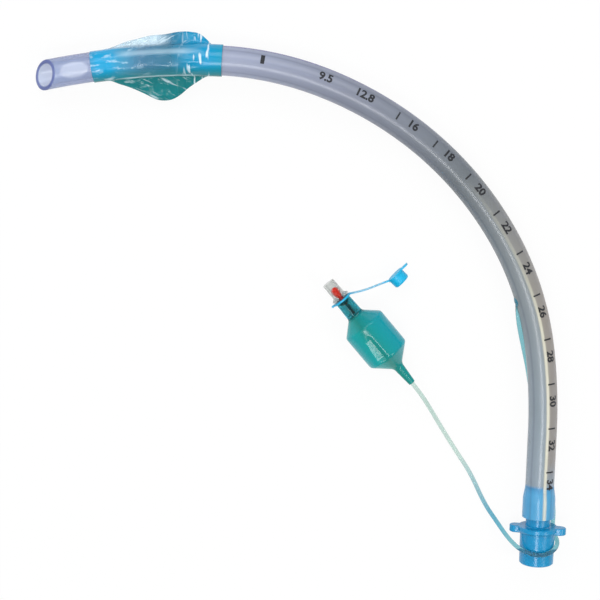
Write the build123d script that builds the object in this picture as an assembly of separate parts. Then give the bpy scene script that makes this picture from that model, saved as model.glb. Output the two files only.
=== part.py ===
from build123d import *
import os
from math import cos, pi, radians, sin, sqrt, tan

# Cuffed tracheal tube, lying on its side. Millimetres, +Z up, standing plane z = 0.
# The origin is under the middle of the box round tube, cuff and connector.
# Every distance "s" is measured along the tube's axis from its patient end.

# Tube: extruded soft PVC, 9.5 mm bore, preformed to one long curve that turns clockwise.
TUBE_R = 6.4
BORE_R = 4.75
TUBE_END = 361.5
AXIS_Z = 9.0
TIP_X, TIP_Y, TIP_HEADING = -117.08, 98.48, 12.35
BENDS = [(77.0, 13.5), (49.0, 19.6), (42.0, 15.1), (65.0, 24.5), (53.0, 22.4), (37.0, 8.7)]

# Patient end: bevel facing up, round-edged, and the side eye in the wall below it.
BEVEL_S = 5.3
BEVEL_SET_BACK_UP = 0.81
BEVEL_SET_BACK_CONVEX = 0.23
EYE_S, EYE_LENGTH, EYE_WIDTH = 17.6, 12.5, 7.5

# Inflation lumen in the concave side of the wall, from the port under the cuff to the notch.
LUMEN_R = 0.4
LUMEN_OFFSET = 5.55
PORT_S = 56.0
NOTCH_S = 262.0

# Cuff: blown film, two bonded collars and a loose sac, deflated into an upper and a lower wing.
DISTAL_COLLAR = (26.3, 32.0, 6.75)
PROXIMAL_COLLAR = (75.5, 82.3, 6.95)
# Stations of the sac: s, reach of the convex wing, reach of the concave wing, reach downwards.
SAC_STATIONS = [
    (32.0, 6.9, 6.9, 6.9),
    (37.5, 8.2, 9.3, 8.2),
    (44.5, 9.6, 12.2, 8.9),
    (52.0, 11.0, 16.6, 8.95),
    (60.5, 12.2, 17.6, 8.95),
    (67.5, 12.5, 13.0, 8.8),
    (72.0, 11.0, 9.7, 8.2),
    (75.5, 7.1, 7.1, 7.1),
]
SAC_TOP_R = 7.0
WING_SHARPNESS = 34
WING_DROOP = 14
# Directions in which each section of the sac has a point, closest together at the two wings.
SAC_ANGLES = [-90, -65, -45, -33, -25, -19, -14, -9, -3, 6, 18, 40, 65, 90]
SAC_ANGLES += [180 - angle for angle in SAC_ANGLES[-2:0:-1]]

# 15 mm connector: moulded, tapered outside 1 in 40, with a grip flange and a barbed tail.
FLANGE_S = 365.8
FLANGE_R, FLANGE_T = AXIS_Z, 2.2
LUG_REACH, LUG_WIDTH, LUG_T = 12.6, 5.6, 3.2
CONE_LENGTH = 15.0
GAUGE_R, GAUGE_FROM_END, TAPER = 7.735, 10.0, 1 / 80
MOUTH_R, CONNECTOR_BORE_R = 6.1, 4.4
NECK_R = 5.5
BARB_TIP_S, BARB_FULL_S = 350.5, 353.5
BARB_TIP_R, BARB_R = 5.1, 5.8
SWELL_S = 347.0
CONNECTOR_ROLL = 12.0

# Pilot balloon and valve lie on one axis; "w" runs along it from the valve's mouth.
PILOT_MOUTH = (10.3, 9.5)
PILOT_HEADING = -50.2
BALLOON_R, BALLOON_WALL = 9.9, 0.45
NECK_TOP_W, NECK_BASE_W, SHOULDER_W, LOWER_SHOULDER_W, TAIL_W, TAIL_END_W = 10.2, 18.6, 24.4, 41.1, 48.3, 58.1
BALLOON_NECK_R, TAIL_R, TAIL_END_R = 3.45, 2.3, 1.5
LINE_SOCKET = 5.0

# Valve: clear housing with a 6 % female taper, sprung red plunger, black seal, lower guide.
HOUSING_MOUTH_R, HOUSING_R, BARREL_R = 2.8, 2.95, 3.0
LUER_MOUTH_R, LUER_TAPER = 2.15, 0.03
SEAT_W, HOUSING_END_W = 10.6, 17.6
CAVITY_R = 2.45
RIB_W, RIB_R = 8.2, 4.2
PLUNGER_TOP_W, HEAD_W, HEAD_R = 3.2, 4.9, 1.62
STEM_R, STEM_TOP_W, STEM_END_W = 0.8, 10.0, 17.9
SEAL_GAP, SEAL_T, SEAL_R = 0.06, 0.9, 2.2
COLLAR_T, COLLAR_R = 0.6, 1.6
WIRE_R, COIL_R, COIL_TURNS = 0.17, 1.25, 5
GUIDE_W, GUIDE_HOLE_R = 16.8, 1.05

# Cap, its strap and the ring round the valve: one soft moulding.
RING_W, RING_R, RING_T = 9.3, 4.3, 0.8
STRAP_T, STRAP_HEIGHT, STRAP_SLOPE = 0.7, 1.6, 12.4
STRAP_POINTS = [(19.5, 4.5), (21.7, 4.9), (26.2, 5.9), (30.4, 7.3), (34.5, 8.8), (37.2, 9.7)]
CAP_CENTRE, CAP_HEADING = (39.7, 12.4), -44.0
CAP_R, CAP_PLATE_T, CAP_SKIRT_R, CAP_SKIRT_BORE_R, CAP_LENGTH = 4.1, 0.9, 3.8, 3.05, 4.9
CAP_PLUG_R, CAP_PLUG_LENGTH = 2.0, 4.0
TAB_REACH, TAB_HEIGHT = 7.3, 2.2

# Pilot line: free limp tube, 2 mm across, from the notch round the connector to the balloon.
LINE_R = 1.0
LINE_TURNS_IN = 6.0
PILOT_ROUTE = [
    (92.7, 0.4, 9.0), (93.5, -8.2, 8.9), (95.3, -18.4, 7.4), (97.5, -28.8, 4.4),
    (100.3, -39.3, 1.7), (103.8, -53.0, 1.1), (108.0, -70.1, 1.1), (111.7, -84.2, 1.1),
    (113.7, -96.2, 1.1), (115.9, -106.3, 1.4), (118.0, -110.4, 9.0), (111.2, -112.7, 20.8),
    (97.5, -112.8, 20.8), (90.6, -111.7, 9.5), (84.8, -98.7, 2.2), (80.3, -90.6, 1.1),
    (73.8, -77.1, 1.1), (68.5, -69.7, 1.1), (62.2, -58.7, 1.1), (57.8, -51.0, 2.4),
]


def centreline(s):
    """Point and heading in degrees of the tube's axis at distance s from the tip."""
    x, y, heading = TIP_X, TIP_Y, TIP_HEADING
    for length, turn in BENDS:
        run = min(s, length)
        radius = length / radians(turn)
        after = heading - turn * run / length
        x += radius * (sin(radians(heading)) - sin(radians(after)))
        y += radius * (cos(radians(after)) - cos(radians(heading)))
        heading = after
        s -= run
    return Vector(x + s * cos(radians(heading)), y + s * sin(radians(heading)), AXIS_Z), heading


def plane_at(s):
    """Cross plane of the axis at s: local X to the convex side, local Y up."""
    point, heading = centreline(s)
    along = Vector(cos(radians(heading)), sin(radians(heading)), 0)
    return Plane(point, x_dir=(-along.Y, along.X, 0), z_dir=along)


def bar(radius, start, end, sideways=0.0):
    """Round bar that follows the axis from start to end, one torus piece for each bend."""
    pieces = []
    s = 0.0
    for length, turn in BENDS + [(TUBE_END - sum(b[0] for b in BENDS) + 40, 0)]:
        first, last = max(start, s), min(end, s + length)
        if last > first:
            section = plane_at(first) * Pos(sideways, 0) * Circle(radius)
            if turn:
                point, heading = centreline(first)
                bend_r = length / radians(turn)
                centre = point + Vector(sin(radians(heading)), -cos(radians(heading)), 0) * bend_r
                pieces.append(revolve(section, Axis(centre, (0, 0, -1)), turn * (last - first) / length))
            else:
                pieces.append(extrude(section, last - first))
        s += length
    solid = pieces[0]
    for piece in pieces[1:]:
        solid += piece
    return solid


def turned(outline):
    """Solid turned about X from a closed outline of (distance, radius) points."""
    return revolve(make_face(Polyline(*outline, close=True)), Axis.X)


def on_tube_end(solid):
    """Carries a solid turned about X, whose X is the distance s, onto the tube's straight machine end."""
    start = sum(b[0] for b in BENDS)
    plane = plane_at(start)
    frame = Plane(plane.origin, x_dir=plane.z_dir, z_dir=(0, 0, 1))
    return frame.location * Pos(-start, 0, 0) * solid


def swell_r(inner):
    """Outer radius of the tube's wall where its bore is stretched to this radius."""
    return sqrt(inner**2 + TUBE_R**2 - BORE_R**2)


def tube(line):
    """Tube wall, stretched over the connector's tail, with bevel, eye, lumen and the line's notch."""
    swell = [
        (SWELL_S, 0), (SWELL_S, TUBE_R), (BARB_TIP_S, swell_r(BARB_TIP_R)), (BARB_FULL_S, swell_r(BARB_R)),
        (TUBE_END - 0.6, swell_r(BARB_R)), (TUBE_END, swell_r(BARB_R) - 0.6), (TUBE_END, 0),
    ]
    stretched = [
        (SWELL_S, 0), (SWELL_S, BORE_R), (BARB_TIP_S, BARB_TIP_R), (BARB_FULL_S, BARB_R),
        (TUBE_END + 1, BARB_R), (TUBE_END + 1, 0),
    ]
    body = bar(TUBE_R, 0, SWELL_S) + on_tube_end(turned(swell))
    body -= bar(BORE_R, 0, SWELL_S)
    body -= on_tube_end(turned(stretched))
    return body - bevel() - side_eye() - inflation_lumen() - line


def bevel():
    """Everything in front of the slanted patient end."""
    cross = plane_at(BEVEL_S)
    away = -cross.z_dir + cross.x_dir * BEVEL_SET_BACK_CONVEX + cross.y_dir * BEVEL_SET_BACK_UP
    return Plane(cross.origin, z_dir=away) * Box(60, 60, 30, align=(Align.CENTER, Align.CENTER, Align.MIN))


def side_eye():
    """Oval punch that goes down through the wall opposite the bevel."""
    point, heading = centreline(EYE_S)
    return extrude(Pos(point) * Rot(0, 0, heading) * Ellipse(EYE_LENGTH / 2, EYE_WIDTH / 2), -AXIS_Z)


def inflation_lumen():
    """Fine channel in the wall, with the port that opens it into the cuff."""
    channel = bar(LUMEN_R, PORT_S, NOTCH_S + 1, -LUMEN_OFFSET)
    port = plane_at(PORT_S)
    outwards = Plane(port.origin - port.x_dir * LUMEN_OFFSET, z_dir=-port.x_dir)
    return channel + outwards * Cylinder(LUMEN_R, 2, align=(Align.CENTER, Align.CENTER, Align.MIN))


def cuff():
    """Bonded collars and the loose sac between them, closed round the tube."""
    outside = loft([sac_section(*station) for station in SAC_STATIONS])
    for start, end, radius in (DISTAL_COLLAR, PROXIMAL_COLLAR):
        outside += bar(radius, start, end)
    return outside - bar(TUBE_R, DISTAL_COLLAR[0] - 2, PROXIMAL_COLLAR[1] + 2)


def sac_section(s, convex, concave, down):
    """Closed curve round the tube: a slack ring with a thin wing to each side, drooping a little."""
    points = []
    ring = min(SAC_TOP_R, down)
    for angle in SAC_ANGLES:
        low = (down - ring) * max(0.0, -sin(radians(angle))) ** 2
        wings = (convex - ring) * lobe(angle + WING_DROOP) + (concave - ring) * lobe(angle - 180 - WING_DROOP)
        radius = ring + low + wings
        points.append((radius * cos(radians(angle)), radius * sin(radians(angle))))
    return make_face(plane_at(s) * Spline(*points, periodic=True))


def lobe(angle):
    """1 at the middle of a wing, falling quickly to 0 on both sides of it."""
    return max(0.0, cos(radians(angle))) ** WING_SHARPNESS


def connector():
    """Barbed tail, neck, flange and 15 mm cone turned in one, with two lugs and a flared bore."""
    flange_end = FLANGE_S + FLANGE_T
    mouth = flange_end + CONE_LENGTH
    end_r = GAUGE_R - GAUGE_FROM_END * TAPER
    outside = [
        (BARB_TIP_S, 0), (BARB_TIP_S, BARB_TIP_R), (BARB_FULL_S, BARB_R), (TUBE_END, BARB_R),
        (TUBE_END + 0.6, NECK_R), (FLANGE_S - 0.4, NECK_R), (FLANGE_S, NECK_R + 0.4),
        (FLANGE_S, FLANGE_R - 0.4), (FLANGE_S + 0.4, FLANGE_R), (flange_end - 0.4, FLANGE_R),
        (flange_end, FLANGE_R - 0.4), (flange_end, end_r + CONE_LENGTH * TAPER),
        (mouth - 0.5, end_r), (mouth, end_r - 0.5), (mouth, 0),
    ]
    inside = [
        (BARB_TIP_S - 1, 0), (BARB_TIP_S - 1, CONNECTOR_BORE_R), (FLANGE_S - 2, CONNECTOR_BORE_R),
        (flange_end + 4, MOUTH_R - 0.3), (mouth + 1, MOUTH_R), (mouth + 1, 0),
    ]
    lug = extrude(SlotOverall(2 * LUG_REACH, LUG_WIDTH), LUG_T)
    lug = fillet(lug.edges().group_by(Axis.Z)[0] + lug.edges().group_by(Axis.Z)[-1], 0.5)
    lugs = Pos(FLANGE_S, 0, 0) * Rot(CONNECTOR_ROLL, 0, 0) * Rot(0, 90, 0) * Rot(0, 0, 90) * lug
    return on_tube_end(turned(outside) + lugs - turned(inside))


def on_pilot_axis(solid):
    """Carries a solid whose X is the distance w from the valve's mouth onto the pilot axis."""
    return Pos(*PILOT_MOUTH, BALLOON_R) * Rot(0, 0, PILOT_HEADING) * solid


def pilot_balloon():
    """Blown balloon: neck round the valve, two cones, a round body and a tail on the line."""
    t = BALLOON_WALL
    outline = [
        (NECK_TOP_W, BARREL_R), (NECK_TOP_W, BALLOON_NECK_R), (NECK_BASE_W, BALLOON_NECK_R + 0.3),
        (SHOULDER_W, BALLOON_R), (LOWER_SHOULDER_W, BALLOON_R), (TAIL_W, TAIL_R), (TAIL_END_W, TAIL_END_R),
        (TAIL_END_W, LINE_R), (TAIL_END_W - LINE_SOCKET, LINE_R), (TAIL_W, TAIL_R - t),
        (LOWER_SHOULDER_W - 0.3 * t, BALLOON_R - t), (SHOULDER_W + 0.3 * t, BALLOON_R - t),
        (NECK_BASE_W + 0.5 * t, BARREL_R),
    ]
    body = turned(outline)
    rims = body.edges().filter_by(GeomType.CIRCLE).filter_by(lambda e: e.radius > BALLOON_R - 0.01)
    return on_pilot_axis(fillet(rims, 0.8))


def valve_housing():
    outside = [
        (0, 0), (0, HOUSING_MOUTH_R - 0.2), (0.2, HOUSING_MOUTH_R), (RIB_W - 0.9, HOUSING_R), (RIB_W, RIB_R),
        (RIB_W + 0.4, RIB_R), (RIB_W + 1.0, BARREL_R), (HOUSING_END_W, BARREL_R), (HOUSING_END_W, 0),
    ]
    inside = [
        (-1, 0), (-1, LUER_MOUTH_R), (0, LUER_MOUTH_R), (SEAT_W, LUER_MOUTH_R - SEAT_W * LUER_TAPER),
        (SEAT_W, CAVITY_R), (HOUSING_END_W + 1, CAVITY_R), (HOUSING_END_W + 1, 0),
    ]
    return on_pilot_axis(turned(outside) - turned(inside))


def valve_plunger():
    """Drop-shaped head, stem and the collar that carries the seal."""
    collar_w = SEAT_W + SEAL_GAP + SEAL_T
    head = Line((PLUNGER_TOP_W, 0), (PLUNGER_TOP_W, 0.5)) + Spline(
        (PLUNGER_TOP_W, 0.5), (HEAD_W, HEAD_R), (STEM_TOP_W, STEM_R), tangents=[(0.2, 1), (1, -0.1)]
    )
    rest = Polyline(
        (STEM_TOP_W, STEM_R), (collar_w, STEM_R), (collar_w, COLLAR_R), (collar_w + COLLAR_T, COLLAR_R),
        (collar_w + COLLAR_T, STEM_R), (STEM_END_W - 0.3, STEM_R), (STEM_END_W, STEM_R - 0.3),
        (STEM_END_W, 0), (PLUNGER_TOP_W, 0),
    )
    return on_pilot_axis(revolve(make_face(head + rest), Axis.X))


def valve_seal():
    top = SEAT_W + SEAL_GAP
    outline = [
        (top, STEM_R), (top, SEAL_R - 0.15), (top + 0.15, SEAL_R), (top + SEAL_T - 0.15, SEAL_R),
        (top + SEAL_T, SEAL_R - 0.15), (top + SEAL_T, STEM_R),
    ]
    return on_pilot_axis(turned(outline))


def valve_spring():
    """Closed wire coil between the plunger's collar and the lower guide."""
    top = SEAT_W + SEAL_GAP + SEAL_T + COLLAR_T + WIRE_R
    length = GUIDE_W - WIRE_R - top
    path = Helix(pitch=length / COIL_TURNS, height=length, radius=COIL_R)
    coil = sweep(Plane(path @ 0, z_dir=path % 0) * Circle(WIRE_R), path, is_frenet=True)
    return on_pilot_axis(Pos(top, 0, 0) * Rot(0, 90, 0) * coil)


def valve_guide():
    """Slotted disc pressed into the housing's lower end, which centres the stem and lets air by."""
    disc = Circle(CAVITY_R) - Circle(GUIDE_HOLE_R)
    for angle in (0, 120, 240):
        disc -= Rot(0, 0, angle) * Pos(CAVITY_R - 0.35, 0) * Rectangle(0.7, 0.9)
    return on_pilot_axis(Pos(GUIDE_W, 0, 0) * Rot(0, 90, 0) * extrude(disc, HOUSING_END_W - GUIDE_W))


def pilot_axis_point(w):
    """Point on the pilot axis at distance w from the valve's mouth."""
    heading = radians(PILOT_HEADING)
    return PILOT_MOUTH[0] + w * cos(heading), PILOT_MOUTH[1] + w * sin(heading), BALLOON_R


def pilot_line():
    """Round tube along straight runs joined by arcs as large as the runs allow."""
    route = PILOT_ROUTE + [pilot_axis_point(TAIL_END_W + LINE_TURNS_IN), pilot_axis_point(TAIL_END_W - LINE_SOCKET)]
    runs = [Vector(b) - Vector(a) for a, b in zip(route, route[1:])]
    turns = [first.get_angle(second) for first, second in zip(runs, runs[1:])]
    radii = [
        0.45 * min(first.length, second.length) / tan(radians(turn) / 2)
        for first, second, turn in zip(runs, runs[1:], turns)
    ]
    path = FilletPolyline(*route, radius=radii)
    print("line runs", [round(run.length, 1) for run in runs])
    print("line turns", [round(turn) for turn in turns])
    print("line radii", [round(radius, 1) for radius in radii])
    line = sweep(Plane(path @ 0, z_dir=path % 0) * Circle(LINE_R), path)
    print("line length", round(path.length, 1), "volume share", round(line.volume / (pi * LINE_R**2 * path.length), 4))
    return line


def cap_strap():
    """Ring round the housing, flat strap, cap lying on its side and finger tab, moulded in one."""
    ring = Cylinder(RING_R, RING_T) - Cylinder(BARREL_R, RING_T)
    heel = Pos(0, -RING_R - 0.2, 0) * Box(STRAP_HEIGHT, 2.4, RING_T)
    ring = Rot(0, 90, 0) * Rot(0, 0, STRAP_SLOPE) * (ring + heel)
    return on_pilot_axis(Pos(RING_W + RING_T / 2, 0, 0) * ring) + strap() + cap()


def strap():
    """Upright ribbon: its plan is a bent strip, its side view a straight slope down to the cap."""
    path = Spline(*STRAP_POINTS)
    plan = extrude(trace(path, line_width=STRAP_T), 2 * BALLOON_R)
    start, end = Vector(*STRAP_POINTS[0]), Vector(*STRAP_POINTS[-1])
    middle = (start + end) / 2
    heading = Vector(1, 0, 0).get_signed_angle(end - start)
    slab = Rot(0, 0, heading) * Rot(0, STRAP_SLOPE, 0) * Box(40, 20, STRAP_HEIGHT)
    return plan & (Pos(middle.X, middle.Y, (BALLOON_R + CAP_R) / 2) * slab)


def cap():
    """Plate with a skirt that goes over the valve's mouth, a plug that goes into it, and a finger tab."""
    outside = [
        (0, 0), (0, CAP_R), (CAP_PLATE_T, CAP_R), (CAP_PLATE_T, CAP_SKIRT_R), (CAP_LENGTH - 0.6, CAP_SKIRT_R),
        (CAP_LENGTH, CAP_SKIRT_R - 0.4), (CAP_LENGTH, 0),
    ]
    room = [
        (CAP_PLATE_T, CAP_PLUG_R + 0.1), (CAP_PLATE_T, CAP_SKIRT_BORE_R), (CAP_LENGTH + 1, CAP_SKIRT_BORE_R),
        (CAP_LENGTH + 1, 0), (CAP_PLUG_LENGTH, 0), (CAP_PLUG_LENGTH, CAP_PLUG_R - 0.1),
    ]
    tab = Pos(0, (CAP_R + TAB_REACH) / 2 - 0.5, 0) * Box(TAB_HEIGHT, TAB_REACH - CAP_R + 1, 0.8)
    body = turned(outside) - turned(room) + Pos(0.4, 0, 0) * Rot(0, 90, 0) * Rot(0, 0, STRAP_SLOPE) * tab
    return Pos(*CAP_CENTRE, CAP_R) * Rot(0, 0, CAP_HEADING) * body


os.makedirs("parts", exist_ok=True)
line = pilot_line()
nodes = {
    "tube": tube(line),
    "cuff": cuff(),
    "connector": connector(),
    "pilot_line": line,
    "pilot_balloon": pilot_balloon(),
    "valve_housing": valve_housing(),
    "valve_plunger": valve_plunger(),
    "valve_seal": valve_seal(),
    "valve_spring": valve_spring(),
    "valve_guide": valve_guide(),
    "cap_strap": cap_strap(),
}
for name, solid in nodes.items():
    export_step(solid, f"parts/{name}.step")
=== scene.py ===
from math import pi, radians

import bmesh
import bpy
import numpy as np
from mathutils import Matrix, Vector


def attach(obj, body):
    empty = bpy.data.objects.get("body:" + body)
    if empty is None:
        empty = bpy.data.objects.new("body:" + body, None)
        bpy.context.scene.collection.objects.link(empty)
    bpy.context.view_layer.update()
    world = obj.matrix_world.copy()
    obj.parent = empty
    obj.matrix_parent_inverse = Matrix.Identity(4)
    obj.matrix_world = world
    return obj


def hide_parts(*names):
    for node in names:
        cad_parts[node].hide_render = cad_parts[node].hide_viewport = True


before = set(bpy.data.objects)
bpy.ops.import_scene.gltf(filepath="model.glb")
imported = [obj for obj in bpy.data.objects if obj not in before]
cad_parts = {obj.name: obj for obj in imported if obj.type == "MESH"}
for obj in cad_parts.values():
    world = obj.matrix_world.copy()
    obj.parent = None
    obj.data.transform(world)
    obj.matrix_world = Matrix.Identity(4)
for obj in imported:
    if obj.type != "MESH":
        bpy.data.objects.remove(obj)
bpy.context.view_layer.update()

# The room: a white table top under soft daylight, seen from nearly straight above.
# The table shines white to the camera, to gloss and through clear plastic, and keeps a faint shadow.


def linear(code):
    """Linear colour of an sRGB hex value: c / 12.92 below 0.04045, else ((c + 0.055) / 1.055) ** 2.4."""
    c = np.array([int(code[i:i + 2], 16) for i in (0, 2, 4)]) / 255
    return (*np.where(c <= 0.04045, c / 12.92, ((c + 0.055) / 1.055) ** 2.4), 1.0)


def node(material, kind, settings):
    """Adds one node. Each setting is an attribute of it, a socket's value, or an output to link to it."""
    made = material.node_tree.nodes.new("ShaderNode" + kind)
    for key, value in settings.items():
        if isinstance(value, bpy.types.NodeSocket):
            material.node_tree.links.new(value, made.inputs[key])
        elif isinstance(key, str) and hasattr(made, key):
            setattr(made, key, value)
        else:
            made.inputs[key].default_value = value
    return made


def empty_material(name):
    """A new material without any node."""
    material = bpy.data.materials.new(name)
    material.use_nodes = True
    material.node_tree.nodes.clear()
    return material


# White laminate: pure white to the eye. The 7 % of matt board left in the mix is what shows the shadow.
table_white = empty_material("white_laminate_table")
ray = node(table_white, "LightPath", {})
seen = node(table_white, "Math", {
    "operation": "MAXIMUM", 0: ray.outputs["Is Camera Ray"], 1: ray.outputs["Is Glossy Ray"],
})
seen = node(table_white, "Math", {
    "operation": "MAXIMUM", 0: seen.outputs[0], 1: ray.outputs["Is Transmission Ray"],
})
mostly = node(table_white, "Math", {"operation": "MULTIPLY", 0: seen.outputs[0], 1: 0.93})
matt = node(table_white, "BsdfDiffuse", {"Color": linear("e6e6e6")})
shine = node(table_white, "Emission", {"Color": (1, 1, 1, 1), "Strength": 1.0})
both = node(table_white, "MixShader", {0: mostly.outputs[0], 1: matt.outputs[0], 2: shine.outputs[0]})
node(table_white, "OutputMaterial", {"Surface": both.outputs[0]})

# The table top lies 0.3 mm below the part, so that nothing touches it.
top = bpy.data.meshes.new("table_top")
top.from_pydata(
    [(-3, -3, -0.0003), (3, -3, -0.0003), (3, 3, -0.0003), (-3, 3, -0.0003)], [], [(0, 1, 2, 3)],
)
top.materials.append(table_white)
table = bpy.data.objects.new("table_top", top)
bpy.context.collection.objects.link(table)

world = bpy.data.worlds.new("pale_room")
bpy.context.scene.world = world
world.use_nodes = True
world.node_tree.nodes["Background"].inputs["Color"].default_value = (0.95, 0.97, 1.0, 1)
world.node_tree.nodes["Background"].inputs["Strength"].default_value = 0.58
bpy.context.scene.view_settings.view_transform = "Standard"


def lamp(name, place, aim, width, height, watts, colour):
    """Adds a rectangular lamp at a place, turned to face its aim."""
    light = bpy.data.lights.new(name, "AREA")
    light.shape = "RECTANGLE"
    light.size = width
    light.size_y = height
    light.energy = watts
    light.color = colour
    item = bpy.data.objects.new(name, light)
    item.location = place
    item.rotation_euler = (Vector(aim) - Vector(place)).to_track_quat("-Z", "Y").to_euler()
    bpy.context.collection.objects.link(item)


lamp("window", (0.64, -0.25, 0.8), (0.1, -0.05, 0), 0.2, 0.55, 2.4, (1.0, 0.95, 0.8))
lamp("north_light", (-0.1, 0.85, 0.75), (0, 0, 0), 1.4, 0.5, 6.0, (0.94, 0.96, 1.0))
lamp("ceiling", (-0.5, 0.1, 1.1), (0, 0, 0), 1.0, 1.0, 3.2, (0.98, 0.99, 1.0))
lamp("skylight", (-0.05, -0.29, 0.87), (0.03, -0.02, 0), 0.24, 0.30, 1.9, (1.0, 1.0, 1.0))

# The camera stands 0.74 m above the table and looks down, 9 degrees off the vertical.
lens = bpy.data.cameras.new("camera")
lens.sensor_width = 36
lens.lens = 101.25
camera = bpy.data.objects.new("camera", lens)
camera.location = (-0.002, 0.1176, 0.7408)
camera.rotation_euler = (radians(-9), 0, 0)
bpy.context.collection.objects.link(camera)
bpy.context.scene.camera = camera


# Pilot line: a limp 2 mm tube of soft clear PVC, tinted teal. It is bonded into a notch in the tube's wall,
# passes under the tube, goes once round the connector's cone and lies along the table to the balloon's tail.

LINE_R = 0.001
# Control points in millimetres, from the notch to the tail.
LINE_POINTS = [
    (93.5, 0.7, 9.6), (93.6, -4.3, 9.2), (94.9, -11.9, 8.0), (97.0, -20.2, 5.7),
    (99.4, -29.7, 3.1), (101.3, -40.3, 1.4), (103.8, -53.0, 1.1), (108.0, -70.1, 1.1),
    (111.3, -84.2, 1.1), (113.0, -96.2, 1.1), (112.2, -104.8, 1.6), (114.3, -109.0, 11.6),
    (106.9, -112.2, 18.9), (97.2, -110.8, 16.2), (91.9, -107.3, 8.6), (86.7, -100.4, 2.6),
    (81.2, -92.5, 1.1), (74.9, -78.5, 1.1), (69.0, -69.6, 1.1), (62.2, -58.7, 1.1),
    (57.6, -50.8, 2.4), (51.3, -39.7, 9.9), (44.3, -31.3, 9.9),
]
line_curve = bpy.data.curves.new("pilot_line", "CURVE")
line_curve.dimensions = "3D"
spline = line_curve.splines.new("NURBS")
spline.points.add(len(LINE_POINTS) - 1)
for control, (x, y, z) in zip(spline.points, LINE_POINTS):
    control.co = (x / 1000, y / 1000, z / 1000, 1)
spline.order_u = 3
spline.use_endpoint_u = True
spline.resolution_u = 16
line_curve.bevel_depth = LINE_R
line_curve.bevel_resolution = 5
line_curve.use_fill_caps = True
pilot_line = bpy.data.objects.new("pilot_line_tube", line_curve)
bpy.context.collection.objects.link(pilot_line)

# Soft PVC, extruded with a little dye: pale where it lies on the white table, bluer near the connector and
# beside the tube. Light is absorbed on its way through, so the middle is deeper than the edges.
teal_pvc = empty_material("extruded_teal_pvc")
place = node(teal_pvc, "TexCoord", {})
spot = node(teal_pvc, "SeparateXYZ", {"Vector": place.outputs["Object"]})
at_cone = node(teal_pvc, "MapRange", {"Value": spot.outputs["Y"], "From Min": -0.070, "From Max": -0.106})
at_tube = node(teal_pvc, "MapRange", {"Value": spot.outputs["X"], "From Min": 0.084, "From Max": 0.092})
dye = node(teal_pvc, "Mix", {
    "data_type": "RGBA", 0: at_cone.outputs[0], 6: linear("eef9f5"), 7: linear("2cb2dc"),
})
dye = node(teal_pvc, "Mix", {
    "data_type": "RGBA", 0: at_tube.outputs[0], 6: dye.outputs[2], 7: linear("a4dcea"),
})
body = node(teal_pvc, "BsdfPrincipled", {
    "Base Color": dye.outputs[2], "Roughness": 0.15, "IOR": 1.2, "Transmission Weight": 0.92,
})
depth = node(teal_pvc, "VolumeAbsorption", {"Color": linear("4ea694"), "Density": 240.0})
node(teal_pvc, "OutputMaterial", {"Surface": body.outputs[0], "Volume": depth.outputs[0]})
line_curve.materials.append(teal_pvc)
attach(pilot_line, "set")
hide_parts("pilot_line")


# Tube: extruded hazy PVC, 12.8 mm across with a 9.5 mm bore, heat-set to its curve. The tip is bevelled
# and rounded by heat, an oval eye is punched in its underside, and the other end is stretched over the barb.

TUBE_R = 0.0064
BORE_R = 0.00475
TUBE_END = 0.3615
AXIS_Z = 0.009
TIP_X = -0.11708
TIP_Y = 0.09848
TIP_HEADING = radians(12.35)
# The length in millimetres and the turn to the right in degrees of each bend, from the tip on.
BENDS = [(77.0, 13.5), (49.0, 19.6), (42.0, 15.1), (65.0, 24.5), (53.0, 22.4), (37.0, 8.7)]
# The bore widens over the barb: from where, over what length and to what radius.
BARB_S = 0.3465
BARB_RISE = 0.0070
BARB_R = 0.00583
# The bevel: the middle of its face and how far it leans back per metre of height and of reach.
BEVEL_S = 0.0053
BEVEL_UP = 0.81
BEVEL_OUT = 0.23
BEVEL_END = 0.0128
LIP = 0.0005


def axis_at(s):
    """Points and headings of the tube's axis at distances s from its tip: an arc for each bend, whose
    centre lies one radius to the right of the heading, then a straight end."""
    s = np.asarray(s, float)
    x = np.full(s.shape, TIP_X)
    y = np.full(s.shape, TIP_Y)
    heading = np.full(s.shape, TIP_HEADING)
    rest = s.copy()
    for length, turn in BENDS:
        length, turn = length / 1000, radians(turn)
        run = np.minimum(rest, length)
        after = heading - turn * run / length
        x += length / turn * (np.sin(heading) - np.sin(after))
        y += length / turn * (np.cos(after) - np.cos(heading))
        heading, rest = after, rest - run
    return x + rest * np.cos(heading), y + rest * np.sin(heading), heading


def around_axis(s, angle, radius):
    """Points round the axis: radius times cosine goes to the convex side, radius times sine goes up."""
    x, y, heading = axis_at(s)
    side = radius * np.cos(angle)
    height = AXIS_Z + radius * np.sin(angle)
    return np.stack([x - side * np.sin(heading), y + side * np.cos(heading), height], -1)


def wall_radius(base_r, s):
    """Radius at s of a layer of the wall. The bore rises smoothly over the barb, as 3 u u minus 2 u u u, and
    the wall keeps the area of its section, so every squared radius grows by as much as the bore's."""
    u = np.clip((s - BARB_S) / BARB_RISE, 0, 1)
    bore = BORE_R + (BARB_R - BORE_R) * u * u * (3 - 2 * u)
    return np.sqrt(bore ** 2 + base_r ** 2 - BORE_R ** 2)


def tip_start(radius, angle):
    """Where the bevel's plane cuts the wall at an angle and radius round the axis."""
    return BEVEL_S + radius * (BEVEL_UP * np.sin(angle) + BEVEL_OUT * np.cos(angle))


def wall_rows(base_r):
    """One face of the wall: rows that fan out from the bevel, then rows square to the axis."""
    start = tip_start(base_r, around)[None, :] + LIP
    near = start + (BEVEL_END - start) * np.linspace(0, 1, 14)[:, None]
    body_rows = np.linspace(BEVEL_END, TUBE_END, 240)[1:, None]
    s = np.concatenate([near, np.broadcast_to(body_rows, (body_rows.size, around.size))])
    return around_axis(s, around[None, :], wall_radius(base_r, s))


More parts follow.
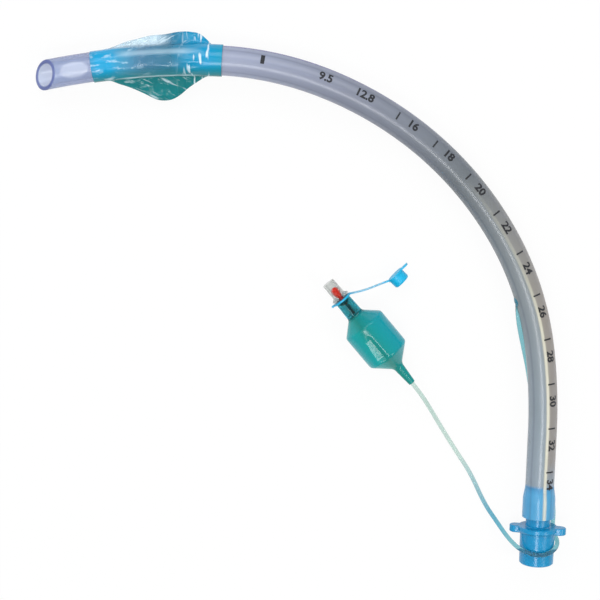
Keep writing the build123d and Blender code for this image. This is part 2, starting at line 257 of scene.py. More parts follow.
def grid_faces(rows, columns, ring_rows, ring_columns):
    """Quads between neighbouring points of a grid; a ring closes its last row or column to the first."""
    i = np.arange(rows if ring_rows else rows - 1)[:, None]
    j = np.arange(columns if ring_columns else columns - 1)[None, :]
    i2 = (i + 1) % rows
    j2 = (j + 1) % columns
    corners = [i * columns + j, i * columns + j2, i2 * columns + j2, i2 * columns + j]
    return np.stack([np.broadcast_to(c, (i.size, j.size)) for c in corners], -1).reshape(-1, 4)


def piece(name, points, material):
    """Mesh object of a surface closed both ways round, a grid of rows by columns of points. It is turned
    outwards: flipped if its volume, the sum of a dot (b cross c) over its triangles, is negative."""
    faces = grid_faces(points.shape[0], points.shape[1], True, True)
    points = points.reshape(-1, 3)
    a, b, c, d = (points[faces[:, k]] for k in range(4))
    volume = np.einsum("ij,ij->i", a, np.cross(b, c)).sum()
    volume += np.einsum("ij,ij->i", a, np.cross(c, d)).sum()
    if volume < 0:
        faces = faces[:, ::-1]
    mesh = bpy.data.meshes.new(name)
    mesh.from_pydata(points.tolist(), [], faces.tolist())
    mesh.polygons.foreach_set("use_smooth", np.full(len(mesh.polygons), True))
    mesh.materials.append(material)
    item = bpy.data.objects.new(name, mesh)
    bpy.context.collection.objects.link(item)
    return item


def store_axis_frame(item):
    """Keeps each point's distance along the axis, its reach to the convex side and its height over the axis
    for the material. A bend claims the points whose bearing from its centre lies past its start."""
    co = np.empty(len(item.data.vertices) * 3)
    item.data.vertices.foreach_get("co", co)
    x, y, z = co.reshape(-1, 3).T
    s = np.zeros(x.size)
    reach = np.zeros(x.size)
    start = 0.0
    for length, turn in BENDS:
        from_x, from_y, heading = axis_at(start)
        radius = length / 1000 / radians(turn)
        out_x = x - from_x - radius * np.sin(heading)
        out_y = y - from_y + radius * np.cos(heading)
        swept = (heading + pi / 2 - np.arctan2(out_y, out_x) + pi) % (2 * pi) - pi
        mine = (swept > 0) | (start == 0)
        s[mine] = start + radius * swept[mine]
        reach[mine] = np.hypot(out_x, out_y)[mine] - radius
        start += length / 1000
    from_x, from_y, heading = axis_at(start)
    ahead = (x - from_x) * np.cos(heading) + (y - from_y) * np.sin(heading)
    mine = ahead > 0
    s[mine] = start + ahead[mine]
    reach[mine] = ((y - from_y) * np.cos(heading) - (x - from_x) * np.sin(heading))[mine]
    values = np.stack([s, reach, z - AXIS_Z], -1)
    kept = item.data.attributes.new("axis_frame", "FLOAT_VECTOR", "POINT")
    kept.data.foreach_set("vector", values.ravel())


# The wall is one closed surface: the outside back to the tip, a half-round lip, the bore up to the end.
around = np.linspace(0, 2 * pi, 96, endpoint=False)
lip = np.linspace(0, pi, 9)[1:-1, None]
lip_r = (TUBE_R + BORE_R) / 2 + (TUBE_R - BORE_R) / 2 * np.cos(lip)
lip_s = tip_start(lip_r, around[None, :]) + LIP * (1 - np.sin(lip))
lip_points = around_axis(lip_s, around[None, :], np.broadcast_to(lip_r, lip_s.shape))
wall = np.concatenate([wall_rows(TUBE_R)[::-1], lip_points, wall_rows(BORE_R)])


def stops(ramp, places):
    """Sets a colour ramp's stops, each a place from 0 to 1, an sRGB hex colour and an alpha."""
    band = ramp.color_ramp.elements
    while len(band) < len(places):
        band.new(0.5)
    for stop, (at, code, alpha) in zip(band, places):
        stop.position = at
        stop.color = (*linear(code)[:3], alpha)


# Plasticised PVC, extruded: hazy and lilac-grey, clearer at the tip and blue where it is wetted onto the
# barb. Along the tube the ramp is partly the plastic's tint and partly painted light: a paler lilac over
# the front part is a painted sheen, and the darker grey in the middle of the length is painted shade.
# The ramp's alpha is the share of haze over clear plastic.
hazy_pvc = empty_material("extruded_hazy_pvc")
frame_at = node(hazy_pvc, "Attribute", {"attribute_name": "axis_frame"})
parts = node(hazy_pvc, "SeparateXYZ", {"Vector": frame_at.outputs["Vector"]})
along = node(hazy_pvc, "MapRange", {"Value": parts.outputs["X"], "From Max": TUBE_END})
tint = node(hazy_pvc, "ValToRGB", {"Fac": along.outputs[0]})
# Partly painted light: paler lilac at the front, darker grey through the middle of the length.
stops(tint, [
    (0.0, "b0c6ea", 0.22), (0.10, "acbcdf", 0.24), (0.22, "b6bed6", 0.55), (0.38, "949aaa", 0.6),
    (0.55, "787f83", 0.62), (0.70, "949c9e", 0.6), (0.958, "a6b6be", 0.5), (0.9605, "3d98cc", 0.6),
    (0.967, "54b4e6", 0.6),
])

# The radiopaque line: an ivory thread in the wall, 13 degrees wide, seen from 200 mm on; it is also the
# painted highlight of the window lamp along the tube. It winds slowly from 85 to 77 degrees. The wall
# between it and the convex side, on its upper half, is painted warm: painted light, not the plastic's
# colour.
turn = node(hazy_pvc, "Math", {"operation": "ARCTAN2", 0: parts.outputs["Z"], 1: parts.outputs["Y"]})
line_at = node(hazy_pvc, "MapRange", {
    "Value": parts.outputs["X"], "From Min": 0.235, "From Max": 0.27, "To Min": radians(85),
    "To Max": radians(77),
})
away = node(hazy_pvc, "Math", {"operation": "SUBTRACT", 0: turn.outputs[0], 1: line_at.outputs[0]})
convex = node(hazy_pvc, "MapRange", {
    "Value": away.outputs[0], "From Min": radians(3), "From Max": radians(-8),
})
away = node(hazy_pvc, "Math", {"operation": "ABSOLUTE", 0: away.outputs[0]})
line = node(hazy_pvc, "MapRange", {
    "interpolation_type": "SMOOTHSTEP", "Value": away.outputs[0], "From Min": radians(10),
    "From Max": radians(3),
})
starts = node(hazy_pvc, "MapRange", {
    "Value": parts.outputs["X"], "From Min": 0.20, "From Max": 0.27, "To Max": 0.8,
})
line = node(hazy_pvc, "Math", {"operation": "MULTIPLY", 0: line.outputs[0], 1: starts.outputs[0]})
painted_warm_light = node(hazy_pvc, "Math", {"operation": "MULTIPLY", 0: convex.outputs[0], 1: starts.outputs[0]})
ends = node(hazy_pvc, "MapRange", {"Value": parts.outputs["X"], "From Min": 0.345, "From Max": 0.335})
painted_warm_light = node(hazy_pvc, "Math", {"operation": "MULTIPLY", 0: painted_warm_light.outputs[0], 1: ends.outputs[0]})
above = node(hazy_pvc, "MapRange", {"Value": parts.outputs["Z"], "From Min": -0.001, "From Max": 0.001})
painted_warm_light = node(hazy_pvc, "Math", {"operation": "MULTIPLY", 0: painted_warm_light.outputs[0], 1: above.outputs[0]})

# Painted shade: the bore's two sides are painted as faint grey lines through the wall, 4.6 mm from the axis.
out = node(hazy_pvc, "Math", {"operation": "ABSOLUTE", 0: parts.outputs["Y"]})
bore_at = node(hazy_pvc, "Math", {"operation": "SUBTRACT", 0: out.outputs[0], 1: 0.0046})
bore_at = node(hazy_pvc, "Math", {"operation": "ABSOLUTE", 0: bore_at.outputs[0]})
bore = node(hazy_pvc, "MapRange", {
    "interpolation_type": "SMOOTHSTEP", "Value": bore_at.outputs[0], "From Min": 0.0006,
    "From Max": 0.0001, "To Max": 0.24,
})
colour = node(hazy_pvc, "Mix", {
    "data_type": "RGBA", 0: bore.outputs[0], 6: tint.outputs["Color"], 7: linear("5c6478"),
})

# Light that has gone a long way through the wall is violet: a fine line along the convex edge, front part.
edge = node(hazy_pvc, "MapRange", {"Value": parts.outputs["Y"], "From Min": 0.0058, "From Max": 0.0063})
early = node(hazy_pvc, "MapRange", {
    "Value": parts.outputs["X"], "From Min": 0.20, "From Max": 0.12, "To Max": 0.75,
})
edge = node(hazy_pvc, "Math", {"operation": "MULTIPLY", 0: edge.outputs[0], 1: early.outputs[0]})
colour = node(hazy_pvc, "Mix", {
    "data_type": "RGBA", 0: edge.outputs[0], 6: colour.outputs[2], 7: linear("564fa4"),
})
# Painted light: the warm glow between the line and the convex side.
colour = node(hazy_pvc, "Mix", {
    "data_type": "RGBA", 0: painted_warm_light.outputs[0], 6: colour.outputs[2], 7: linear("ada293"),
})
# The ivory line, partly the radiopaque thread and partly a painted highlight.
colour = node(hazy_pvc, "Mix", {
    "data_type": "RGBA", 0: line.outputs[0], 6: colour.outputs[2], 7: linear("d8d4be"),
})
share = node(hazy_pvc, "Math", {"operation": "MAXIMUM", 0: tint.outputs["Alpha"], 1: line.outputs[0]})

# The cut face of the bevel is seen along the wall, so it is painted dark blue as painted shade: all that
# lies before its plane.
face_at = node(hazy_pvc, "VectorMath", {
    "operation": "DOT_PRODUCT", 0: frame_at.outputs["Vector"], 1: (1, -BEVEL_OUT, -BEVEL_UP),
})
painted_face_shade = node(hazy_pvc, "MapRange", {
    "Value": face_at.outputs["Value"], "From Min": 0.0059, "From Max": 0.0055, "To Max": 0.85,
})
colour = node(hazy_pvc, "Mix", {
    "data_type": "RGBA", 0: painted_face_shade.outputs[0], 6: colour.outputs[2], 7: linear("2c3c8c"),
})
share = node(hazy_pvc, "Math", {"operation": "MAXIMUM", 0: share.outputs[0], 1: painted_face_shade.outputs[0]})
clear = node(hazy_pvc, "BsdfPrincipled", {
    "Base Color": linear("f2f6fc"), "Roughness": 0.2, "IOR": 1.5, "Transmission Weight": 1.0,
})
haze = node(hazy_pvc, "BsdfPrincipled", {"Base Color": colour.outputs[2], "Roughness": 0.38, "IOR": 1.5})
mixed = node(hazy_pvc, "MixShader", {0: share.outputs[0], 1: clear.outputs[0], 2: haze.outputs[0]})
depth = node(hazy_pvc, "VolumeAbsorption", {"Color": linear("7f90d6"), "Density": 170.0})
node(hazy_pvc, "OutputMaterial", {"Surface": mixed.outputs[0], "Volume": depth.outputs[0]})
tube = piece("tube_wall", wall, hazy_pvc)

# The eye: an oval punch that goes down through the wall opposite the bevel.
EYE_S = 0.0176
EYE_LENGTH = 0.0125
EYE_WIDTH = 0.0075
eye_x, eye_y, eye_heading = (float(v) for v in axis_at(EYE_S))
punch = bmesh.new()
bmesh.ops.create_cone(
    punch, cap_ends=True, segments=64, radius1=0.5, radius2=0.5, depth=1.0,
    matrix=Matrix.Translation((eye_x, eye_y, AXIS_Z / 2)) @ Matrix.Rotation(eye_heading, 4, "Z")
    @ Matrix.Diagonal((EYE_LENGTH, EYE_WIDTH, AXIS_Z, 1)),
)
punch_mesh = bpy.data.meshes.new("punch")
punch.to_mesh(punch_mesh)
punch.free()
punch_item = bpy.data.objects.new("punch", punch_mesh)
bpy.context.collection.objects.link(punch_item)
punched = tube.modifiers.new("eye", "BOOLEAN")
punched.operation = "DIFFERENCE"
punched.solver = "EXACT"
punched.object = punch_item
open_wall = bpy.data.meshes.new_from_object(tube.evaluated_get(bpy.context.evaluated_depsgraph_get()))
tube.modifiers.clear()
tube.data = open_wall
bpy.data.objects.remove(punch_item)
open_wall.set_sharp_from_angle(angle=radians(40))
store_axis_frame(tube)
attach(tube, "set")
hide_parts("tube")


# Bond: a spot of tinted solvent cement that seals the pilot line into the notch on the concave side.
# It is a lens on the wall: 0.6 mm thick at its middle, thinning as 1 minus the squared distance from it.

BOND_S = 0.2615
BOND_ANGLE = pi - 0.12
BOND_LONG = 0.0028
BOND_WIDE = 0.0030
BOND_THICK = 0.0006
BOND_SUNK = 0.0002
rings = np.concatenate([np.linspace(0.02, 1, 10), np.linspace(1, 0.02, 10)[1:]])[:, None]
on_top = np.concatenate([np.full(10, 1.0), np.full(9, 0.0)])[:, None]
turn = np.linspace(0, 2 * pi, 40, endpoint=False)[None, :]
bond_points = around_axis(
    BOND_S + BOND_LONG * rings * np.cos(turn),
    BOND_ANGLE - BOND_WIDE / TUBE_R * rings * np.sin(turn),
    TUBE_R - BOND_SUNK + on_top * BOND_THICK * (1 - rings ** 2) + 0 * turn,
)


def uneven(material, cell, tones, rough, depth, more):
    """A Principled surface under noise of the given cell size in metres. The noise blends the two tones,
    moves the roughness between its two levels and raises a relief. More holds further constants."""
    place = node(material, "TexCoord", {})
    drawn = node(material, "Mapping", {"Vector": place.outputs["Object"]})
    pattern = node(material, "TexNoise", {"Vector": drawn.outputs[0], "Scale": 1 / cell, "Detail": 3.0})
    tone = node(material, "Mix", {
        "data_type": "RGBA", 0: pattern.outputs["Fac"], 6: linear(tones[0]), 7: linear(tones[1]),
    })
    level = node(material, "MapRange", {
        "Value": pattern.outputs["Fac"], "From Min": 0.3, "From Max": 0.7, "To Min": rough[0],
        "To Max": rough[1],
    })
    relief = node(material, "Bump", {"Height": pattern.outputs["Fac"], "Strength": 0.5, "Distance": depth})
    return node(material, "BsdfPrincipled", {
        "Base Color": tone.outputs[2], "Roughness": level.outputs[0], "Normal": relief.outputs[0], **more,
    })


# Solvent cement, brushed on and dried: half clear, with the small waves of a skin that shrank.
cement = empty_material("dried_teal_cement")
body = uneven(cement, 0.0007, ("2386a4", "339fba"), (0.2, 0.35), 0.0001, {"Transmission Weight": 0.5})
node(cement, "OutputMaterial", {"Surface": body.outputs[0]})
bond = piece("solvent_bond", bond_points, cement)
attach(bond, "set")


# Printed marks: black ink, printed once the tube is drawn. A bold bar above the cuff, then a tick and a
# plain number every 20 mm, read from the tip towards the connector with their tops on the convex side.

INK = 0.00002
LETTER = 0.0050
STROKE = 0.00018
# Places along the tube: the bar, the size of the bore, the size outside and the tick of number 24.
BAR_S = 0.0994
BORE_LABEL_S = 0.1270
OUTSIDE_LABEL_S = 0.1450
TICK_S = 0.2407
# Each number stands past its tick, and the last one ends where the tube begins to swell.
TICK_STEP = 0.0198
LABEL_GAP = 0.0076
LAST_LABEL_S = 0.3454
# Places round the tube, from its top: the marks wander to the convex side as the tube was twisted a little.
LABEL_ARC = 0.0027
ARC_PLACES = [0.16, 0.23, 0.28]
ARC_SHIFTS = [0.0027, 0.0032, 0.0039]


def ink_bar(sheet, s, arc, width, height):
    """Adds a flat bar to the sheet: s along the tube, arc round it from the top towards the convex side."""
    place = Matrix.Translation((s, arc, 0))
    bmesh.ops.create_cube(sheet, size=1.0, matrix=place @ Matrix.Diagonal((width, height, INK, 1)))


def ink_number(sheet, s, arc, words):
    """Adds the outlines of a number as flat slabs, centred on s and arc."""
    letters = bpy.data.curves.new("letters", "FONT")
    letters.body = words
    letters.size = LETTER
    letters.extrude = INK / 2
    letters.offset = STROKE
    letters.align_x = "CENTER"
    letters.align_y = "CENTER"
    letters.resolution_u = 4
    item = bpy.data.objects.new("letters", letters)
    bpy.context.collection.objects.link(item)
    slabs = bpy.data.meshes.new_from_object(item.evaluated_get(bpy.context.evaluated_depsgraph_get()))
    slabs.transform(Matrix.Translation((s, arc, 0)))
    sheet.from_mesh(slabs)
    bpy.data.objects.remove(item)


sheet = bmesh.new()
ink_bar(sheet, BAR_S, LABEL_ARC + 0.0001, 0.0017, 0.0040)
ink_number(sheet, BORE_LABEL_S, LABEL_ARC, "9.5")
ink_number(sheet, OUTSIDE_LABEL_S, LABEL_ARC, "12.8")
for number in range(16, 36, 2):
    tick_s = TICK_S + (number - 24) / 2 * TICK_STEP
    arc = float(np.interp(tick_s, ARC_PLACES, ARC_SHIFTS))
    ink_bar(sheet, tick_s, arc - 0.0003, 0.0007, 0.0038)
    ink_number(sheet, min(tick_s + LABEL_GAP, LAST_LABEL_S), arc, str(number))

# The sheet is cut every 0.4 mm round the tube, so that it bends smoothly, and then wrapped onto the wall.
for level in np.arange(0, 0.0072, 0.0004):
    bmesh.ops.bisect_plane(sheet, geom=sheet.verts[:] + sheet.edges[:] + sheet.faces[:], dist=1e-7,
                           plane_co=(0, float(level), 0), plane_no=(0, 1, 0))
print_mesh = bpy.data.meshes.new("printed_marks")
sheet.to_mesh(print_mesh)
sheet.free()
flat = np.empty(len(print_mesh.vertices) * 3)
print_mesh.vertices.foreach_get("co", flat)
s, arc, lift = flat.reshape(-1, 3).T
wrapped = around_axis(s, pi / 2 - arc / TUBE_R, wall_radius(TUBE_R, s) + INK + lift)
print_mesh.vertices.foreach_set("co", wrapped.ravel())

# Pad-printed ink: black and matt, a little greyer where the pad left less of it.
black_ink = empty_material("printed_black_ink")
body = uneven(black_ink, 0.0004, ("08090d", "1c1e26"), (0.5, 0.7), 0.00001, {})
node(black_ink, "OutputMaterial", {"Surface": body.outputs[0]})
print_mesh.materials.append(black_ink)
marks = bpy.data.objects.new("printed_marks", print_mesh)
bpy.context.collection.objects.link(marks)
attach(marks, "set")


# Cuff: blown PVC film, bonded to the tube by a collar at each end and drawn flat, so that the loose sac
# falls into an upper and a lower wing.

# Millimetres along the tube, then the reach of the upper wing, of the lower wing and of the sag below.
SAC = np.array([
    (26.3, 6.75, 6.75, 6.75), (32.0, 6.8, 6.8, 6.8), (37.5, 8.2, 9.3, 7.6), (44.5, 9.9, 12.4, 8.3),
    (52.0, 11.2, 16.7, 8.8), (58.5, 11.5, 17.5, 8.9), (63.5, 12.1, 15.4, 8.9), (68.5, 12.4, 11.6, 8.6),
    (72.5, 11.5, 8.9, 8.1), (75.5, 9.0, 7.3, 7.3), (77.5, 7.0, 7.0, 7.0), (82.3, 6.95, 6.95, 6.95),
]) / 1000
SAC_START = 0.032
SAC_END = 0.0765
UPPER_WING = radians(-14)
LOWER_WING = radians(194)
FILM = 0.00012
LEAST_R = 0.00641
# Half the height of the creases on the wings, of the pleats at the shoulders and of the ripples.
CREASE = 0.00030
PLEAT = 0.00024
RIPPLE = 0.00016


def spread(angle, place, width):
    """Bell curve round a wing's direction: exp of minus the squared angular distance over the width."""
    away = (angle - place + pi) % (2 * pi) - pi
    return np.exp(-(away / width) ** 2)


def smooth_curve(at, places, heights):
    """Cubic Hermite curve through the given points, whose slope at each is that of its neighbours' chord."""
    slopes = np.gradient(heights, places)
    k = np.clip(np.searchsorted(places, at, side="right") - 1, 0, len(places) - 2)
    span = places[k + 1] - places[k]
    u = (at - places[k]) / span
    return ((1 + 2 * u) * (1 - u) ** 2 * heights[k] + u * u * (3 - 2 * u) * heights[k + 1]
            + span * (u * (1 - u) ** 2 * slopes[k] - u * u * (1 - u) * slopes[k + 1]))


def crumpled(radius, s):
    """Points of the film: each wing is also raised and lowered by creases that run out and back along it.
    A crease is 1 minus twice the size of a sine, whose phase grows with s and reach and is itself bent."""
    points = around_axis(s, sac_angles + 0 * s, radius)
    reach = radius * np.cos(sac_angles)
    on_wing = np.clip((np.abs(reach) - 0.0068) / 0.0025, 0, 1)
    bent = 1.4 * np.sin(330 * s - 280 * reach)
    creases = 1 - 2 * np.abs(np.sin(430 * s + 300 * reach + bent))
    creases = creases + 0.8 * np.sin(900 * s - 700 * reach + 2 * np.sin(500 * reach))
    points[..., 2] = np.maximum(points[..., 2] + CREASE * on_wing * creases, 0.00002)
    return points


# The angles are packed closer on the wings. Each wing is a bell on the ring of the sac, and the underside
# sags as the squared sine.
fine = np.linspace(-pi / 2, 3 * pi / 2, 4001)
density = np.cumsum(1 + 9 * spread(fine, UPPER_WING, 0.16) + 11 * spread(fine, LOWER_WING, 0.16))
sac_angles = np.interp(np.linspace(0, density[-1], 261)[:-1], density, fine)[None, :]
sac_s = np.linspace(SAC[0, 0], SAC[-1, 0], 260)[:, None]
upper_reach, lower_reach, sag = (smooth_curve(sac_s, SAC[:, 0], SAC[:, k]) for k in (1, 2, 3))
ring = np.clip(sag, 0.00675, 0.0069)
shape = ring + (sag - ring) * np.clip(-np.sin(sac_angles), 0, 1) ** 2
shape = shape + (upper_reach - ring) * spread(sac_angles, UPPER_WING, 0.13)
shape = shape + (lower_reach - ring) * spread(sac_angles, LOWER_WING, 0.12)

# Pleats gather the film at both shoulders and ripples run all over it: sines round the tube that wander
# along it, the pleats fading with the squared distance from the collars.
pleats = np.sin(9 * sac_angles + 3 * np.sin(90 * sac_s)) * np.exp(-((SAC_END - sac_s) / 0.010) ** 2)
pleats = pleats + np.sin(7 * sac_angles + 1.0) * np.exp(-((sac_s - 0.033) / 0.012) ** 2)
ripples = np.sin(520 * sac_s + 2.2 * np.sin(3 * sac_angles + 60 * sac_s))
ripples = ripples * np.sin(5 * sac_angles + 140 * sac_s)
loose = np.clip(np.minimum(sac_s - SAC_START, SAC_END - sac_s) / 0.008, 0, 1)
shape = shape + loose * (PLEAT * pleats + RIPPLE * ripples)
film_s = sac_s + 0 * shape
film = crumpled(shape, film_s)
lining = crumpled(np.maximum(shape - FILM, LEAST_R), film_s)
sac_points = np.concatenate([film, lining[::-1]])

# PVC film, blown and dyed cyan: deep where it is bonded and bunched, clear in the sac, with painted glints:
# white streaks and lines on its creases. The ramp's alpha is the share of milky film over clear film.
clear_film = empty_material("blown_blue_pvc_film")
frame_at = node(clear_film, "Attribute", {"attribute_name": "axis_frame"})
parts = node(clear_film, "SeparateXYZ", {"Vector": frame_at.outputs["Vector"]})
along = node(clear_film, "MapRange", {
    "Value": parts.outputs["X"], "From Min": SAC[0, 0], "From Max": SAC[-1, 0],
})
dye = node(clear_film, "ValToRGB", {"Fac": along.outputs[0]})
stops(dye, [
    (0.0, "3cb8e4", 0.45), (0.05, "0cabde", 0.75), (0.15, "10b0e2", 0.7), (0.24, "54b8de", 0.5),
    (0.38, "64a6c8", 0.35), (0.60, "4498b8", 0.42), (0.74, "009cc8", 0.7), (0.88, "009ccc", 0.82),
    (1.0, "0098bc", 0.85),
])

# The lower wing lies double on the table and is teal; the front of the upper wing is nearly colourless.
reach = parts.outputs["Y"]
lower = node(clear_film, "MapRange", {"Value": reach, "From Min": -0.002, "From Max": -0.0068})
colour = node(clear_film, "Mix", {
    "data_type": "RGBA", 0: lower.outputs[0], 6: dye.outputs["Color"], 7: linear("0a8f94"),
})
share = node(clear_film, "MapRange", {
    "Value": lower.outputs[0], "To Min": dye.outputs["Alpha"], "To Max": 0.62,
})
wing = node(clear_film, "MapRange", {"Value": reach, "From Min": 0.0062, "From Max": 0.0072})
front = node(clear_film, "MapRange", {"Value": parts.outputs["X"], "From Min": 0.061, "From Max": 0.054})
pale = node(clear_film, "Math", {"operation": "MULTIPLY", 0: wing.outputs[0], 1: front.outputs[0]})
colour = node(clear_film, "Mix", {
    "data_type": "RGBA", 0: pale.outputs[0], 6: colour.outputs[2], 7: linear("e8f8ff"),
})
share = node(clear_film, "MapRange", {
    "Value": pale.outputs[0], "To Min": share.outputs[0], "To Max": 0.25,
})

# Painted glints: streaks slant out along each wing, about 9 mm long and 1.6 mm wide.
GLINT_STREAK_SIZE = (0.00909, 0.00161, 0.005)
out = node(clear_film, "Math", {"operation": "ABSOLUTE", 0: reach})
slant = node(clear_film, "Math", {
    "operation": "MULTIPLY_ADD", 0: parts.outputs["X"], 1: -0.5, 2: out.outputs[0],
})
lie = node(clear_film, "CombineXYZ", {
    "X": parts.outputs["X"], "Y": slant.outputs[0], "Z": parts.outputs["Z"],
})
drawn = node(clear_film, "Mapping", {
    "Vector": lie.outputs[0], "Scale": [1 / size for size in GLINT_STREAK_SIZE],
})
glint_noise = node(clear_film, "TexNoise", {
    "Vector": drawn.outputs[0], "Scale": 1.0, "Detail": 2.0, "Roughness": 0.5,
})
glint_streak = node(clear_film, "MapRange", {
    "interpolation_type": "SMOOTHSTEP", "Value": glint_noise.outputs["Fac"], "From Min": 0.56,
    "From Max": 0.70, "To Max": 0.65,
})
on_wing = node(clear_film, "MapRange", {"Value": out.outputs[0], "From Min": 0.0064, "From Max": 0.0076})
glint_streak = node(clear_film, "Math", {"operation": "MULTIPLY", 0: glint_streak.outputs[0], 1: on_wing.outputs[0]})

# Painted glints on the pleats round the rear shoulder, where the sac is gathered: 1.6 mm apart, 8 mm long.
PLEAT_GLINT_SIZE = (0.00161, 0.0077, 0.0077)
gathered = node(clear_film, "Mapping", {
    "Vector": frame_at.outputs["Vector"], "Scale": [1 / size for size in PLEAT_GLINT_SIZE],
})
pleat_glint_noise = node(clear_film, "TexNoise", {"Vector": gathered.outputs[0], "Scale": 1.0, "Detail": 1.0})
pleat_glint = node(clear_film, "MapRange", {
    "interpolation_type": "SMOOTHSTEP", "Value": pleat_glint_noise.outputs["Fac"], "From Min": 0.58,
    "From Max": 0.70, "To Max": 0.85,
})
shoulder = node(clear_film, "MapRange", {"Value": parts.outputs["X"], "From Min": 0.062, "From Max": 0.070})
collar = node(clear_film, "MapRange", {"Value": parts.outputs["X"], "From Min": 0.0775, "From Max": 0.0765})
pleat_glint = node(clear_film, "Math", {"operation": "MULTIPLY", 0: pleat_glint.outputs[0], 1: shoulder.outputs[0]})
pleat_glint = node(clear_film, "Math", {"operation": "MULTIPLY", 0: pleat_glint.outputs[0], 1: collar.outputs[0]})

# Painted glints: speckles of highlight crowd the front of the sac, about 4 mm long and 2 mm wide.
SPECKLE_GLINT_SIZE = (0.00435, 0.00192, 0.00333)
speckle_glint_place = node(clear_film, "Mapping", {
    "Vector": frame_at.outputs["Vector"], "Scale": [1 / size for size in SPECKLE_GLINT_SIZE],
    "Rotation": (0, 0, radians(20)),
})
speckle_glint_noise = node(clear_film, "TexNoise", {"Vector": speckle_glint_place.outputs[0], "Scale": 1.0, "Detail": 2.0})
speckle_glint = node(clear_film, "MapRange", {
    "interpolation_type": "SMOOTHSTEP", "Value": speckle_glint_noise.outputs["Fac"], "From Min": 0.54,
    "From Max": 0.72, "To Max": 0.55,
})
distal = node(clear_film, "MapRange", {"Value": parts.outputs["X"], "From Min": 0.054, "From Max": 0.040})
speckle_glint = node(clear_film, "Math", {"operation": "MULTIPLY", 0: speckle_glint.outputs[0], 1: distal.outputs[0]})

# Two painted highlights follow the tube: a pale line on the root of the lower wing and a broad sheen on the
# upper side.
root_glint_at = node(clear_film, "Math", {"operation": "ADD", 0: reach, 1: 0.0064})
root_glint_at = node(clear_film, "Math", {"operation": "ABSOLUTE", 0: root_glint_at.outputs[0]})
root_glint = node(clear_film, "MapRange", {
    "interpolation_type": "SMOOTHSTEP", "Value": root_glint_at.outputs[0], "From Min": 0.0005,
    "From Max": 0.0001, "To Max": 0.6,
})
sheen_at = node(clear_film, "Math", {"operation": "SUBTRACT", 0: reach, 1: 0.0040})
sheen_at = node(clear_film, "Math", {"operation": "ABSOLUTE", 0: sheen_at.outputs[0]})
band = node(clear_film, "MapRange", {
    "interpolation_type": "SMOOTHSTEP", "Value": sheen_at.outputs[0], "From Min": 0.0018,
    "From Max": 0.0002, "To Max": 0.4,
})
loose = node(clear_film, "MapRange", {"Value": parts.outputs["X"], "From Min": 0.036, "From Max": 0.042})
slack = node(clear_film, "MapRange", {"Value": parts.outputs["X"], "From Min": 0.074, "From Max": 0.066})
loose = node(clear_film, "Math", {"operation": "MULTIPLY", 0: loose.outputs[0], 1: slack.outputs[0]})
line = node(clear_film, "Math", {"operation": "MAXIMUM", 0: root_glint.outputs[0], 1: band.outputs[0]})
line = node(clear_film, "Math", {"operation": "MULTIPLY", 0: line.outputs[0], 1: loose.outputs[0]})

# All of them are painted glints: they whiten the film and make it milky, and as a relief they lift it.
crease_and_glint = node(clear_film, "Math", {"operation": "MAXIMUM", 0: glint_streak.outputs[0], 1: pleat_glint.outputs[0]})
crease_and_glint = node(clear_film, "Math", {"operation": "MAXIMUM", 0: crease_and_glint.outputs[0], 1: line.outputs[0]})
crease_and_glint = node(clear_film, "Math", {"operation": "MAXIMUM", 0: crease_and_glint.outputs[0], 1: speckle_glint.outputs[0]})
colour = node(clear_film, "Mix", {
    "data_type": "RGBA", 0: crease_and_glint.outputs[0], 6: colour.outputs[2], 7: linear("e0f2fa"),
})
share = node(clear_film, "MapRange", {
    "Value": crease_and_glint.outputs[0], "To Min": share.outputs[0], "To Max": 0.9,
})
relief = node(clear_film, "Bump", {"Height": crease_and_glint.outputs[0], "Strength": 0.5, "Distance": 0.0004})
tint = node(clear_film, "Mix", {"data_type": "RGBA", 0: 0.5, 6: (1, 1, 1, 1), 7: colour.outputs[2]})
through = node(clear_film, "BsdfTransparent", {"Color": tint.outputs[2]})
gloss = node(clear_film, "BsdfPrincipled", {
    "Base Color": tint.outputs[2], "Roughness": 0.06, "IOR": 1.45, "Transmission Weight": 1.0,
    "Normal": relief.outputs[0],
})
thin = node(clear_film, "MixShader", {0: 0.3, 1: through.outputs[0], 2: gloss.outputs[0]})
milky = node(clear_film, "BsdfPrincipled", {
    "Base Color": colour.outputs[2], "Roughness": 0.2, "IOR": 1.45, "Normal": relief.outputs[0],
})
body = node(clear_film, "MixShader", {0: share.outputs[0], 1: thin.outputs[0], 2: milky.outputs[0]})
node(clear_film, "OutputMaterial", {"Surface": body.outputs[0]})
cuff = piece("cuff_film", sac_points, clear_film)
store_axis_frame(cuff)
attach(cuff, "set")
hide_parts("cuff")


# Pilot balloon: teal PVC, blown in one piece with its neck and tail, limp between two round shoulders.
# The neck is bonded over the valve's housing and the tail round the end of the pilot line.

PILOT_MOUTH = (0.0103, 0.0095, 0.0099)
PILOT_HEADING = radians(-50.2)
BALLOON_R = 0.0099
SKIN = 0.0004
NECK_BORE_R = 0.00301
NECK_END = 0.0187
FOLD = 0.00016
# The limp patch: where it lies along the axis and round it, its crease, and its depth as a share of the
# radius.
PATCH_START = 0.0268
PATCH_END = 0.0425
PATCH_ANGLE = radians(96)
CREASE_ANGLE = radians(89)
PATCH_DEPTH = 0.095
# Millimetres from the valve's mouth and the radius there.
BALLOON_OUTLINE = np.array([
    (10.2, 3.45), (18.3, 3.75), (19.0, 4.1), (24.2, 9.75), (25.0, 9.9), (40.6, 9.9), (41.4, 9.75),
    (47.6, 3.0), (48.8, 2.3), (58.1, 1.5),
]) / 1000


